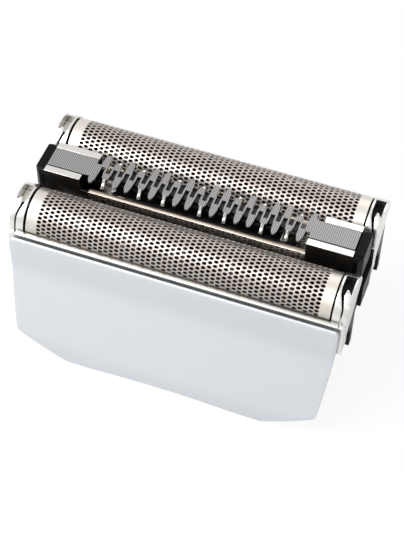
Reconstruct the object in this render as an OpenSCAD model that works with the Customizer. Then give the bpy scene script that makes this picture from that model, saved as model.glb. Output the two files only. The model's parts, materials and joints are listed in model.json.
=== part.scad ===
// Foil head for an electric shaver: two floating foils, two blade stacks and a sprung comb trimmer.
// X runs along the foils, the front cover faces -Y, Z is up, and z = 0 is under the covers' feet.

/* [Cassette] */
// Width of the covers at their top edge
cover_w = 47; // [44:0.5:52]
// Height of the covers
cover_h = 20.2; // [19.6:0.1:21]
// Distance of each cover's top edge from the middle plane
cover_y = 12.4; // [12.4:0.05:13.5]
// How much further out the cover's foot stands than its top edge
cover_flare = 3.5; // [2.5:0.1:4.5]
// Wall of the covers
cover_t = 0.8; // [0.7:0.05:0.85]

/* [Foils] */
// Distance of each foil's axis from the middle plane
foil_y = 7.07; // [6.95:0.01:7.15]
// Height of the foils' axis
foil_z = 20.3; // [20:0.1:21]
// Outer radius of the foil's arch
foil_r = 3.72; // [3.6:0.01:3.8]
// Thickness of the foil sheet
foil_t = 0.12; // [0.08:0.01:0.15]
// Length of the foils
foil_len = 43.4; // [42:0.1:45]
// Radius of the holes in the foil
hole_r = 0.62; // [0.4:0.02:0.7]
// Spacing of the holes along a row
hole_pitch = 2.15; // [1.9:0.05:2.3]
// How far a foil sinks into the head
float_travel = 2; // [1:0.1:2.2]

/* [Blade stacks] */
// Spacing of the lamellae
lamella_pitch = 1.38; // [1.1:0.02:1.4]
// Thickness of a lamella
lamella_t = 0.25; // [0.15:0.01:0.35]
// Stroke of a blade stack to each side
stroke = 1.2; // [0.6:0.1:1.3]

/* [Drive] */
// Radius of the socket for the shaver's drive pin
socket_r = 1.55; // [1.2:0.05:1.7]
// Depth of the socket
socket_depth = 5; // [3:0.1:5.2]

/* [Trimmer] */
// Height of the comb's top face
comb_top = 24.7; // [24.4:0.05:25.5]
// Thickness of the comb
comb_t = 0.3; // [0.2:0.01:0.35]
// Spacing of the comb's teeth
tooth_pitch = 1.76; // [1.6:0.01:1.8]
// Reach of the long teeth from the middle plane
long_reach = 2.8; // [2.6:0.05:2.9]
// Reach of the short teeth from the middle plane
short_reach = 1.6; // [1.4:0.05:1.9]
// Length of the trimmer's steel parts
trimmer_len = 44.4; // [43:0.1:44.8]
// How far the trimmer sinks into the head
trimmer_travel = 1.5; // [0.8:0.1:1.6]

/* [Chassis] */
// Thickness of the chassis walls
wall_t = 0.8; // [0.6:0.05:0.9]
// Height of the deck's top face
deck_z = 12; // [11.5:0.1:12.2]
// Thickness of the deck
deck_t = 1.2; // [1:0.1:1.5]

/* [Hidden] */

// Overrun of a cut past the face that it opens
over = 1;
// Running clearance between guided pieces
run_gap = 0.08;
// Free space kept round pieces that move past each other
free_gap = 0.12;
// Facets of a turned shape, and of a small one
round_fn = 96;
small_fn = 32;

// Covers
cover_lip_r = 0.45;
cover_sway_share = 0.6;
cover_steps = 16;
cover_side_in = 1.1;
cover_corner_z = 3.8;
cover_foot_x = 14.7;
cover_foot_flat = 3.6;
cover_arch = 0.5;
cover_corner_r = 0.9;
rib_t = 0.9;
rib_low = 2.5;
rib_drop = 0.4;
rib_share = [-0.8, -0.4, 0, 0.4, 0.8];

// Foil frame
rail_out_t = 0.7;
rail_in_t = 0.36;
rail_drop = 4.1;
rail_in_drop = 0.5;
cheek_gap = 0.3;
cheek_t = 1.95;
cheek_proud = 0.2;
cheek_front_drop = 5.6;
cheek_front_w = 2.3;
cheek_slant_drop = 4;
cheek_rear_rise = 0.9;
rear_leg_w = 0.7;
rear_leg_t = 0.4;
pocket_lip = 0.3;
pocket_wall = 0.2;
pocket_front = 0.9;
pocket_rear = 1.6;
tongue_tip = 0.75;
tongue_tip_w = 0.15;
tongue_arm = 0.6;
groove_low = 0.3;
groove_w = [0.45, 0.25];
groove_in = [0.15, 0.75];
groove_bend = [1.7, 3.2];
key_gap = 0.05;
key_low = 1.5;

// Foil skirts, cradle and its pins
skirt_drop = 3.6;
cradle_bar_t = 0.5;
cradle_bar_h = 1.8;
cradle_bar_lift = 0.2;
pin_r = 0.35;
pin_hole_gap = 0.05;
pin_share = [-0.72, 0, 0.72];
block_len = 2.2;
block_top_drop = 1.3;
lug_front = 0.6;
lug_rear = 1.8;
lug_drop = 5.5;
lug_w = 1.1;
lug_t = 0.75;
lug_reach = 10.1;
hook_w = 0.9;
hook_y = 2.3;
hook_len = 1;
barb = 0.35;
barb_h = 0.8;

// Field of holes in a foil
hole_rows = 6;
hole_cols = 19;
row_pitch = hole_pitch * sin(60);

// Lamellae and carrier
lamella_gap = 0.1;
lamella_ring = 1.05;
lamella_cut = 1;
lamella_foot_w = 0.7;
carrier_w = 5.8;
carrier_floor_drop = 3.3;
carrier_seat_h = 0.8;
carrier_rise = 1.2;
carrier_side = 0.45;
post_r = 0.6;
post_x_share = 0.5;
post_above = 1.6;

// Drive bridge
bridge_w = 4.4;
bridge_h = 1.1;
bridge_side = 1.1;
bridge_post_x = 3.2;
bridge_post_y = 2.5;
bridge_snap = 0.4;
bridge_snap_h = 0.6;
socket_floor = 0.9;
socket_mouth = 0.25;
peg_r = 0.6;
peg_arm_w = 2.4;
peg_reach = 2.5;

// Coil springs
cutter_wire = 0.3;
foil_wire = 0.32;
trimmer_wire = 0.34;
cutter_coil_r = 1.05;
foil_coil_r = 0.9;
trimmer_coil_r = 1.2;
coil_dead = 0.6;
coil_steps = 16;
wire_sides = 6;

// Trimmer
channel_t = 0.3;
channel_half = 2.8;
channel_drop = 5.7;
channel_low = 2.1;
strip_drop = 0.1;
strip_in = 1.75;
strip_a_x = 15.7;
strip_b_x = 16.9;
comb_plate_x = 15.7;
comb_plate_half = 1.62;
comb_teeth = 18;
short_front_teeth = [1, 4, 6, 9, 11, 14, 16];
tooth_w = 1;
tooth_straight = 1.2;
spine_half = 0.5;
spine_edge = 0.8;
slot_w = 0.6;
leg_w = 0.45;
leg_out = 0.9;
leg_drop = 1.1;
blade_t = 0.3;
blade_half = 1.6;
blade_spine_half = 0.9;
driver_half = 1.6;
driver_h = 1.1;
driver_side = 3;
driver_brim = 2.35;
driver_brim_h = 0.2;
fork_x = 2.1;
fork_y = 1.1;
fork_gap = 0.52;
window_x = 3.6;
leaf_t = 0.15;
leaf_w = 1.6;
leaf_x = 10;
leaf_sag = 1.1;
cap_t = 1.4;
cap_drop = 4.9;
cap_corner = 0.9;
cap_half = 2.85;
cap_top_drop = 0.35;
cap_leg_t = 0.8;
cap_leg_half = 1.2;
trimmer_spring_in = 2.61;

// Chassis
chassis_foot = 1.2;
chassis_top = 12.7;
chassis_recess = 2.2;
rim_under = 0.2;
end_top_gap = 0.2;
deck_gap = 0.05;
ledge_w = 0.8;
ledge_h = 0.6;
nub_x_share = 0.55;
nub_len = 3;
nub_w = 0.4;
nub_h = 0.5;
post_half = 2.2;
post_t = 2.3;
stem_t = 1.4;
stem_top = 14;
window_y = 7;
window_w = 4;
window_low = 3.4;
window_h = 2.4;

// Places worked out from the sizes above
foil_in_r = foil_r - foil_t;
cheek_r = foil_r + cheek_proud;
rail_y = foil_r + rail_out_t;
wall_in = foil_y + rail_y + run_gap;
wall_out = wall_in + wall_t;
end_in = foil_len / 2 + free_gap / 2;
end_out = end_in + wall_t;
low_out = end_out - chassis_recess;
low_in = low_out - wall_t;
rim_low = deck_z - deck_t - rim_under;
cheek_x = foil_len / 2 + cheek_gap;
cheek_out = cheek_x + cheek_t;
cheek_foot = foil_z - cheek_front_drop;
slant_y = cheek_front_w - rail_y;
outer_rail = [rail_out_t, 0];
inner_rail = [rail_in_t, rail_in_drop];
slant_low = foil_z - cheek_slant_drop;
slant_slope = (cheek_slant_drop + cheek_rear_rise) / (cheek_r - slant_y);
end_top = cheek_foot - float_travel - end_top_gap;
skirt_z = foil_z - skirt_drop;
bar_z = skirt_z + cradle_bar_lift;
block_in = foil_len / 2 - block_len;
block_z = foil_z - rail_drop;
hook_x = foil_len / 2 - hook_len - free_gap;
barb_top = deck_z - deck_t - free_gap / 2;
carrier_z = foil_z - carrier_floor_drop;
carrier_x = block_in - stroke - carrier_side;
lamella_n = floor((2 * carrier_x - lamella_t) / lamella_pitch) + 1;
lamella_r = foil_in_r - lamella_gap;
post_x = carrier_x * post_x_share;
bridge_z = deck_z + run_gap;
bridge_top = bridge_z + bridge_h;
bridge_x = post_x + bridge_side;
socket_top = barb_top - socket_floor;
socket_z = socket_top - socket_depth;
strip_top = comb_top - strip_drop;
comb_z = comb_top - comb_t;
blade_z = comb_z - run_gap - blade_t;
driver_z = blade_z - driver_h;
channel_floor_z = comb_top - channel_drop;
fork_z = bridge_top + trimmer_travel + fork_gap;
peg_top = fork_z + peg_reach;
spring_x = end_in - trimmer_spring_in;
cap_x = trimmer_len / 2;
cap_z = comb_top - cap_drop;
cap_leg_x = cap_x - cap_leg_t;
end_tooth_x = (comb_teeth - 1) / 2 * tooth_pitch;

// Distance of a cover's outer face from the middle plane at height z
function cover_face(z) =
    let(u = 1 - z / cover_h)
    cover_y + cover_flare * (u - cover_sway_share * sin(360 * u) / (2 * PI));

// A box between two corners
module block(low, high) {
    translate(low) cube(high - low);
}

// A YZ outline drawn with x as Y and y as Z, drawn out along X
module along_x(from, to) {
    translate([from, 0, 0]) rotate([90, 0, 90]) linear_extrude(to - from) children();
}

// An XZ outline drawn out along Y
module along_y(from, to) {
    translate([0, to, 0]) rotate([90, 0, 0]) linear_extrude(to - from) children();
}

module both_ends() {
    children();
    mirror([1, 0, 0]) children();
}

module both_sides() {
    children();
    mirror([0, 1, 0]) children();
}

// Pieces that come in a front and a rear copy are drawn for the front one
module rear() {
    rotate(180) children();
}

module at_front_foil() {
    translate([0, -foil_y, 0]) children();
}

module at_rear_foil() {
    translate([0, foil_y, 0]) children();
}

// Coil spring standing on z = low
module coil(r, wire, turns, low, high) {
    steps = turns * coil_steps;
    rise = high - low - wire;
    function share(t) = min(max((t * turns - coil_dead) / (turns - 2 * coil_dead), 0), 1);
    points = [for (i = [0:steps], k = [0:wire_sides - 1])
        let(a = 360 * i / coil_steps, b = 360 * k / wire_sides, q = r + wire / 2 * cos(b))
        [q * cos(a), q * sin(a), low + wire / 2 + rise * share(i / steps) + wire / 2 * sin(b)]];
    sides = [for (i = [0:steps - 1], k = [0:wire_sides - 1])
        let(n = (k + 1) % wire_sides, p = i * wire_sides, q = p + wire_sides)
        [p + k, q + k, q + n, p + n]];
    start = [for (k = [0:wire_sides - 1]) k];
    end = [for (k = [wire_sides - 1:-1:0]) steps * wire_sides + k];
    polyhedron(points, concat(sides, [start, end]));
}

// Covers

// Bowed sides, slanting lower corners and an arch between two flat feet
module cover_outline() {
    side = cover_w / 2 - cover_side_in;
    flat_in = cover_foot_x - cover_foot_flat;
    arch = [for (i = [0:cover_steps])
        let(x = flat_in * (2 * i / cover_steps - 1))
        [x, cover_arch * cos(90 * x / flat_in)]];
    right = [for (i = [0:cover_steps])
        let(u = i / cover_steps)
        [side + cover_side_in * sin(90 * u), cover_corner_z + (cover_h - cover_corner_z) * u]];
    left = [for (i = [cover_steps:-1:0]) [-right[i][0], right[i][1]]];
    offset(r = cover_corner_r, $fn = round_fn) offset(delta = -cover_corner_r)
        polygon(concat(arch, [[cover_foot_x, 0]], right, left, [[-cover_foot_x, 0]]));
}

// Outer and inner face of the cover's wall, with a rounded top lip
module cover_section() {
    lip_z = cover_h - cover_lip_r;
    outer = [for (i = [0:cover_steps]) let(z = lip_z * i / cover_steps) [-cover_face(z), z]];
    lip = [for (i = [1:cover_steps])
        let(a = 180 - 180 * i / cover_steps)
        [-cover_face(lip_z) + cover_t / 2 + cover_t / 2 * cos(a), lip_z + cover_lip_r * sin(a)]];
    inner = [for (i = [cover_steps - 1:-1:0])
        let(z = lip_z * i / cover_steps) [-cover_face(z) + cover_t, z]];
    polygon(concat(outer, lip, inner));
}

// Rib between the cover's wall and the chassis
module cover_rib_section() {
    high = chassis_top - rib_drop;
    outer = [for (i = [0:cover_steps])
        let(z = rib_low + (high - rib_low) * i / cover_steps)
        [-cover_face(z) + cover_t / 2, z]];
    polygon(concat(outer, [[-wall_out, high], [-wall_out, rib_low]]));
}

module cover() {
    difference() {
        intersection() {
            along_x(-cover_w, cover_w) cover_section();
            along_y(-2 * cover_y, 0) cover_outline();
        }
        block([-end_out - run_gap, -wall_out - run_gap, chassis_foot - run_gap],
            [end_out + run_gap, 0, chassis_top + run_gap]);
    }
    for (share = rib_share) {
        x = cover_w / 2 * share;
        along_x(x - rib_t / 2, x + rib_t / 2) cover_rib_section();
    }
}

module front_cover() color("#d5dce1") cover();
module rear_cover() color("#d5dce1") rear() cover();

// Foil units

// Arched cheek: a round top, a long front leg and a slanting lower edge
module cheek_outline(leg_y) {
    difference() {
        union() {
            translate([0, foil_z]) circle(r = cheek_r, $fn = round_fn);
            translate([-leg_y, cheek_foot]) square([leg_y, foil_z - cheek_foot]);
        }
        polygon([
            [slant_y, cheek_foot - over],
            [slant_y, slant_low],
            [cheek_r, foil_z + cheek_rear_rise],
            [cheek_r + over, foil_z + cheek_rear_rise],
            [cheek_r + over, cheek_foot - over]]);
    }
}

// Seen from above: a pocket for the cradle's key, and a groove that runs from it to the front
module cheek_pocket_outline() {
    out = cheek_t - pocket_wall;
    translate([cheek_x, 0]) {
        translate([pocket_lip, -pocket_front])
            square([out - pocket_lip, pocket_front + pocket_rear]);
        polygon([
            [pocket_lip + tongue_tip + tongue_tip_w, -pocket_front + key_gap],
            [out, -pocket_front + key_gap],
            [out, -pocket_front - tongue_arm]]);
    }
}

module cheek_groove_outline() {
    translate([cheek_x + pocket_lip, 0]) polygon([
        [0, -pocket_front + key_gap],
        [groove_in[0], -groove_bend[0]],
        [groove_in[1], -groove_bend[1]],
        [groove_in[1], -cheek_r - over],
        [groove_in[1] + groove_w[1], -cheek_r - over],
        [groove_in[1] + groove_w[1], -groove_bend[1]],
        [groove_in[0] + groove_w[0], -groove_bend[0]],
        [tongue_tip, -pocket_front + key_gap]]);
}

module cheek(leg_y) {
    difference() {
        along_x(cheek_x, cheek_out) cheek_outline(leg_y);
        translate([0, 0, cheek_foot]) linear_extrude(2 * cheek_r + cheek_front_drop)
            cheek_pocket_outline();
        translate([0, 0, foil_z - groove_low]) linear_extrude(2 * cheek_r) cheek_groove_outline();
    }
}

// Each rail is given as its thickness and the drop of its top edge
module foil_frame(front, back) {
    difference() {
        union() {
            block([-cheek_x, -foil_r - front[0], foil_z - rail_drop],
                [cheek_x, -foil_r, foil_z - front[1]]);
            block([-cheek_x, foil_r, foil_z - rail_drop],
                [cheek_x, foil_r + back[0], foil_z - back[1]]);
            both_ends() {
                cheek(foil_r + front[0]);
                block([cheek_x, foil_r - rear_leg_w, foil_z - rail_drop],
                    [cheek_x + rear_leg_t, foil_r + back[0], foil_z - back[1]]);
                block([cheek_x, foil_r - rear_leg_w, foil_z - rail_drop],
                    [cheek_x + rear_leg_t, foil_r, foil_z + cheek_rear_rise]);
            }
        }
        for (share = pin_share) translate([foil_len / 2 * share, 0, bar_z + cradle_bar_h / 2])
            rotate([90, 0, 0])
            cylinder(h = 2 * (foil_r + rail_in_t), r = pin_r + pin_hole_gap, center = true, $fn = small_fn);
    }
}

module front_foil_frame() color("#c9c9c9") at_front_foil() foil_frame(outer_rail, inner_rail);
module rear_foil_frame() color("#c9c9c9") at_rear_foil() foil_frame(inner_rail, outer_rail);

module foil_section(r, low) {
    translate([0, foil_z]) circle(r = r, $fn = round_fn);
    translate([-r, low]) square([2 * r, foil_z - low]);
}

module foil() {
    at_front_foil() difference() {
        along_x(-foil_len / 2, foil_len / 2) difference() {
            foil_section(foil_r, skirt_z);
            foil_section(foil_in_r, skirt_z - over);
        }
        for (row = [0:hole_rows - 1]) {
            angle = (row - (hole_rows - 1) / 2) * row_pitch / foil_r * 180 / PI;
            cols = hole_cols - row % 2;
            for (col = [0:cols - 1])
                translate([(col - (cols - 1) / 2) * hole_pitch, 0, foil_z])
                    rotate([angle, 0, 0])
                    translate([0, 0, foil_in_r - over / 2])
                    cylinder(h = foil_t + over, r = hole_r, $fn = small_fn);
        }
        for (share = pin_share) translate([foil_len / 2 * share, 0, bar_z + cradle_bar_h / 2])
            rotate([90, 0, 0])
            cylinder(h = 2 * foil_r + over, r = pin_r + pin_hole_gap, center = true, $fn = small_fn);
    }
}

module front_foil() color("#b9b4ab") foil();
module rear_foil() color("#b9b4ab") rear() foil();

// Inner frame that clamps the foil's skirts, rests on the springs and hooks under the deck
module foil_cradle() {
    bar_out = foil_in_r;
    both_sides() {
        block([-foil_len / 2, bar_out - cradle_bar_t, bar_z],
            [foil_len / 2, bar_out, bar_z + cradle_bar_h]);
        for (share = pin_share) translate([foil_len / 2 * share, 0, bar_z + cradle_bar_h / 2])
            rotate([-90, 0, 0]) translate([0, 0, bar_out - cradle_bar_t])
            cylinder(h = cradle_bar_t + foil_t + rail_in_t, r = pin_r, $fn = small_fn);
    }
    both_ends() {
        block([block_in, -bar_out, block_z], [foil_len / 2, bar_out, foil_z - block_top_drop]);
        cradle_lug();
        both_sides() {
            block([hook_x, hook_y - hook_w / 2, barb_top - barb_h],
                [hook_x + hook_len, hook_y + hook_w / 2, block_z]);
            block([hook_x, hook_y + hook_w / 2, barb_top - barb_h],
                [hook_x + hook_len, hook_y + hook_w / 2 + barb, barb_top]);
        }
    }
}

// Lug under the cheek's slanting edge, with a key in the cheek's pocket and a bar that hangs outside
module cradle_lug() {
    rise = slant_low - slant_slope * slant_y - free_gap;
    along_x(foil_len / 2, cheek_out) polygon([
        [-lug_front, foil_z - lug_drop],
        [lug_rear, foil_z - lug_drop],
        [lug_rear, rise + slant_slope * lug_rear],
        [-lug_front, rise - slant_slope * lug_front]]);
    block([cheek_x + pocket_lip + key_gap, -lug_front, foil_z - lug_drop],
        [cheek_out - pocket_wall - key_gap, pocket_rear - key_gap, foil_z + cheek_r - key_low]);
    block([cheek_out - lug_t, lug_rear - lug_w, foil_z - lug_reach],
        [cheek_out, lug_rear, foil_z - lug_drop]);
}

module front_foil_cradle() color("#26262a") at_front_foil() foil_cradle();
module rear_foil_cradle() color("#26262a") at_rear_foil() foil_cradle();

module foil_springs_at(side) {
    x = side * (block_in + foil_len / 2) / 2;
    translate([x, -foil_y, 0]) coil(foil_coil_r, foil_wire, 5, deck_z, block_z);
}

module front_foil_spring_left() color("silver") foil_springs_at(-1);
module front_foil_spring_right() color("silver") foil_springs_at(1);
module rear_foil_spring_left() color("silver") rear() foil_springs_at(1);
module rear_foil_spring_right() color("silver") rear() foil_springs_at(-1);

// Blade stacks

module lamella_outline() {
    difference() {
        union() {
            intersection() {
                translate([0, foil_z]) circle(r = lamella_r, $fn = round_fn);
                translate([-lamella_r, foil_z - lamella_cut])
                    square([2 * lamella_r, lamella_r + lamella_cut]);
            }
            translate([-carrier_w / 2, carrier_z + carrier_seat_h])
                square([carrier_w, foil_z - carrier_z - carrier_seat_h]);
        }
        translate([0, foil_z]) circle(r = lamella_r - lamella_ring, $fn = round_fn);
        translate([lamella_foot_w - carrier_w / 2, carrier_z])
            square([carrier_w - 2 * lamella_foot_w, foil_z - carrier_z]);
    }
}

module blades() {
    at_front_foil() for (i = [0:lamella_n - 1]) {
        x = (i - (lamella_n - 1) / 2) * lamella_pitch;
        along_x(x - lamella_t / 2, x + lamella_t / 2) lamella_outline();
    }
}

module front_blades() color("#9a9a9e") blades();
module rear_blades() color("#9a9a9e") rear() blades();

module cutter_carrier() {
    rib_half = carrier_w / 2 - lamella_foot_w;
    at_front_foil() difference() {
        union() {
            block([-carrier_x, -carrier_w / 2, carrier_z], [carrier_x, carrier_w / 2, carrier_z + carrier_seat_h]);
            block([-carrier_x, -rib_half, carrier_z],
                [carrier_x, rib_half, carrier_z + carrier_seat_h + carrier_rise]);
        }
        both_ends() translate([post_x, 0, carrier_z - over])
            cylinder(h = carrier_seat_h + carrier_rise + 2 * over, r = post_r + run_gap, $fn = round_fn);
    }
}

module front_cutter_carrier() color("#3a3a3e") cutter_carrier();
module rear_cutter_carrier() color("#3a3a3e") rear() cutter_carrier();

// Bridge that takes the shaver's drive pin and carries a blade stack on two springs
module drive_bridge() {
    at_front_foil() difference() {
        union() {
            block([-bridge_x, -bridge_w / 2, bridge_z], [bridge_x, bridge_w / 2, bridge_top]);
            block([-bridge_post_x, -bridge_post_y, socket_z], [bridge_post_x, bridge_post_y, bridge_top]);
            both_sides() block([-bridge_post_x, bridge_post_y, barb_top - bridge_snap_h],
                [bridge_post_x, bridge_post_y + bridge_snap, barb_top]);
            both_ends() translate([post_x, 0, bridge_z])
                cylinder(h = carrier_z + post_above - bridge_z, r = post_r, $fn = round_fn);
        }
        translate([0, 0, socket_z - over]) cylinder(h = socket_depth + over, r = socket_r, $fn = round_fn);
        translate([0, 0, socket_z - over])
            cylinder(h = socket_mouth + over, r = socket_r + socket_mouth, $fn = round_fn);
    }
}

// Arm and peg that reach the trimmer's driver, on the rear bridge only
module drive_peg() {
    block([-peg_arm_w / 2, -peg_arm_w / 2, bridge_z],
        [peg_arm_w / 2, foil_y - bridge_w / 2, bridge_top]);
    translate([0, 0, bridge_z]) cylinder(h = peg_top - bridge_z, r = peg_r, $fn = round_fn);
}

module front_drive_bridge() color("#e8e6df") drive_bridge();
module rear_drive_bridge() color("#e8e6df") {
    rear() drive_bridge();
    drive_peg();
}

module cutter_springs() {
    at_front_foil() both_ends() translate([post_x, 0, 0])
        coil(cutter_coil_r, cutter_wire, 4.5, bridge_top, carrier_z);
}

module front_cutter_springs() color("silver") cutter_springs();
module rear_cutter_springs() color("silver") rear() cutter_springs();

// Trimmer

// Folded channel: floor, two walls, and a strip along the comb at each corner
module trimmer_channel() {
    color("#c4c4c6") {
        difference() {
            block([-cap_x, -channel_half, channel_floor_z], [cap_x, channel_half, channel_floor_z + channel_t]);
            block([-window_x, -fork_y - run_gap, channel_floor_z - over],
                [window_x, fork_y + run_gap, channel_floor_z + over]);
            both_ends() block([cap_leg_x - run_gap, -cap_leg_half - run_gap, channel_floor_z - over],
                [cap_x + over, cap_leg_half + run_gap, channel_floor_z + over]);
        }
        both_sides() block([-cap_x, channel_half - channel_t, channel_floor_z],
            [cap_x, channel_half, strip_top - channel_low]);
        channel_corner(strip_b_x);
        rear() channel_corner(strip_b_x);
        mirror([0, 1, 0]) {
            channel_corner(strip_a_x);
            rear() channel_corner(strip_a_x);
        }
    }
}

module channel_corner(inner_x) {
    block([-cap_x, -channel_half, strip_top - channel_low],
        [-inner_x, -channel_half + channel_t, strip_top]);
    block([-cap_x, -channel_half, strip_top - channel_t], [-inner_x, -strip_in, strip_top]);
}

// One tooth that reaches towards -Y and ends in half an ellipse
module tooth(x, reach, w) {
    tip = [for (i = [0:small_fn / 2])
        let(a = 360 * i / small_fn)
        [w / 2 * cos(a), -tooth_straight - (reach - tooth_straight) * sin(a)]];
    translate([x, 0]) polygon(concat([[-w / 2, 0], [w / 2, 0]], tip));
}

function front_tooth_x(i) = (i - (comb_teeth - 1) / 2) * tooth_pitch - tooth_pitch / 4;
function is_short(i) = len([for (k = short_front_teeth) if (k == i) k]) > 0;

// The comb is the same when it is turned half round, so one side's rule gives both
module comb_side() {
    for (i = [0:comb_teeth - 1])
        tooth(front_tooth_x(i), is_short(i) ? short_reach : long_reach, tooth_w);
}

module comb_outline() {
    difference() {
        union() {
            comb_side();
            rear() comb_side();
            square([2 * comb_plate_x, 2 * spine_edge], center = true);
            both_ends() translate([comb_plate_x, -comb_plate_half])
                square([cap_x - comb_plate_x - run_gap, 2 * comb_plate_half]);
        }
        comb_slots();
        rear() comb_slots();
    }
}

// Slots run from the open side into the spine, between the teeth
module comb_slots() {
    for (i = [0:comb_teeth - 2]) {
        x = (front_tooth_x(i) + front_tooth_x(i + 1)) / 2;
        translate([x - slot_w / 2, -long_reach]) square([slot_w, long_reach + spine_half]);
    }
}

// The short teeth end in legs that are bent down and outwards
module comb_legs() {
    for (i = [0:comb_teeth - 1]) if (is_short(i)) {
        x = front_tooth_x(i);
        along_x(x - leg_w / 2, x + leg_w / 2) polygon([
            [-tooth_straight, comb_top],
            [-short_reach, comb_top],
            [-short_reach - leg_out, comb_top - leg_drop],
            [-short_reach - leg_out + comb_t, comb_z - leg_drop],
            [-short_reach, comb_z],
            [-tooth_straight, comb_z]]);
    }
}

module trimmer_comb() {
    color("#a9a8ad") {
        translate([0, 0, comb_z]) linear_extrude(comb_t) comb_outline();
        comb_legs();
        rear() comb_legs();
    }
}

// The blade's teeth stand under the comb's, one to each, and leave wide slots between them
module blade_slots() {
    for (i = [1:comb_teeth - 1])
        translate([(front_tooth_x(i - 1) + front_tooth_x(i) - tooth_pitch + slot_w) / 2, -blade_half - over])
            square([tooth_pitch - slot_w, blade_half + over - blade_spine_half]);
}

module trimmer_blade() {
    x = end_tooth_x - stroke;
    color("#8e8e92") translate([0, 0, blade_z]) linear_extrude(blade_t) difference() {
        square([2 * x, 2 * blade_half], center = true);
        blade_slots();
        rear() blade_slots();
    }
}

module trimmer_driver() {
    x = end_tooth_x - driver_side;
    slot = peg_r + run_gap;
    color("#1c1c1f") difference() {
        union() {
            block([-x, -driver_half, driver_z], [x, driver_half, blade_z]);
            block([-x, -driver_brim, driver_z], [x, driver_brim, driver_z + driver_brim_h]);
            block([-fork_x, -fork_y, fork_z], [fork_x, fork_y, driver_z]);
        }
        block([-slot, -fork_y - over, fork_z - over],
            [slot, fork_y + over, peg_top + trimmer_travel + free_gap]);
    }
}

// Two bowed leaves that press the driver and its blade up against the comb
module trimmer_leaf_spring() {
    low = channel_floor_z + channel_t;
    rise = driver_z - run_gap - low - leaf_t;
    n = cover_steps;
    color("#b5b5b8") both_ends() along_y(-leaf_w / 2, leaf_w / 2) polygon(concat(
        [for (i = [0:n]) let(u = i / n) [window_x + leaf_x * u, low + rise * sin(180 * u)]],
        [for (i = [n:-1:0]) let(u = i / n) [window_x + leaf_x * u, low + leaf_t + rise * sin(180 * u)]]));
}

// End cap with rounded upper corners and a leg that slides in the chassis
module cap() {
    top = comb_top - cap_top_drop;
    post_in = cap_x + cap_t;
    difference() {
        along_x(cap_x, post_in) difference() {
            translate([-cap_half, cap_z]) square([2 * cap_half, top - cap_z]);
            both_corners() translate([cap_half - cap_corner, top - cap_corner]) difference() {
                square(cap_corner + over);
                circle(r = cap_corner, $fn = small_fn);
            }
        }
        translate([post_in, 0, 0]) both_sides()
            translate([0, cap_half, cap_z - over]) rotate(45)
            cube([cap_corner, cap_corner, top], center = true);
    }
    block([cap_leg_x, -cap_leg_half, barb_top - barb_h], [cap_x, cap_leg_half, top - cap_corner]);
    block([cap_leg_x - barb, -cap_leg_half, barb_top - barb_h], [cap_leg_x, cap_leg_half, barb_top]);
}

module both_corners() {
    children();
    mirror([1, 0]) children();
}

module trimmer_cap_left() color("#1c1c1f") rear() cap();
module trimmer_cap_right() color("#1c1c1f") cap();

module trimmer_spring(side) {
    translate([side * spring_x, 0, 0])
        coil(trimmer_coil_r, trimmer_wire, 7, deck_z, channel_floor_z);
}

module trimmer_spring_left() color("silver") trimmer_spring(-1);
module trimmer_spring_right() color("silver") trimmer_spring(1);

// Chassis and deck

// Long walls, a rim round the deck, and end walls set back under it
module chassis() {
    post_top = cap_z - trimmer_travel - free_gap;
    color("#1c1c1f") {
        difference() {
            union() {
                both_sides() {
                    block([-low_out, wall_in, chassis_foot], [low_out, wall_out, chassis_top]);
                    block([-end_out, wall_in, rim_low], [end_out, wall_out, chassis_top]);
                }
                both_ends() {
                    block([low_in, -wall_out, chassis_foot], [low_out, wall_out, deck_z - deck_t - deck_gap]);
                    block([end_in, -wall_out, rim_low], [end_out, wall_out, end_top]);
                    block([end_in, -post_half, rim_low], [end_in + stem_t, post_half, post_top]);
                    block([end_in, -post_half, stem_top], [end_in + post_t, post_half, post_top]);
                }
            }
            both_ends() {
                both_sides() block([low_in - over, window_y - window_w / 2, window_low],
                    [low_out + over, window_y + window_w / 2, window_low + window_h]);
                block([cap_leg_x - run_gap, -cap_leg_half - run_gap, rim_low - over],
                    [cap_x + run_gap, cap_leg_half + run_gap, cap_z]);
                block([0, -channel_half - run_gap, channel_floor_z - trimmer_travel - run_gap],
                    [cap_x + run_gap, channel_half + run_gap, cap_z]);
            }
        }
        both_sides() {
            block([-block_in, wall_in - ledge_w, deck_z], [block_in, wall_in, deck_z + ledge_h]);
            both_ends() {
                nub_x = block_in * nub_x_share;
                block([nub_x - nub_len / 2, wall_in - nub_w, deck_z - deck_t - nub_h],
                    [nub_x + nub_len / 2, wall_in, deck_z - deck_t]);
            }
        }
    }
}

module deck() {
    slot_x = bridge_post_x + stroke + free_gap;
    color("#3a3a3e") difference() {
        block([-end_in + deck_gap, -wall_in + deck_gap, deck_z - deck_t],
            [end_in - deck_gap, wall_in - deck_gap, deck_z]);
        for (y = [-foil_y, foil_y]) translate([0, y, 0]) {
            block([-slot_x, -bridge_post_y - run_gap, deck_z - deck_t - over],
                [slot_x, bridge_post_y + run_gap, deck_z + over]);
            both_ends() both_sides()
                block([hook_x - run_gap, hook_y - hook_w / 2 - run_gap, deck_z - deck_t - over],
                    [hook_x + hook_len + run_gap, hook_y + hook_w / 2 + run_gap, deck_z + over]);
        }
        both_ends() block([cap_leg_x - run_gap, -cap_leg_half - run_gap, deck_z - deck_t - over],
            [cap_x + run_gap, cap_leg_half + run_gap, deck_z + over]);
    }
}

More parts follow.
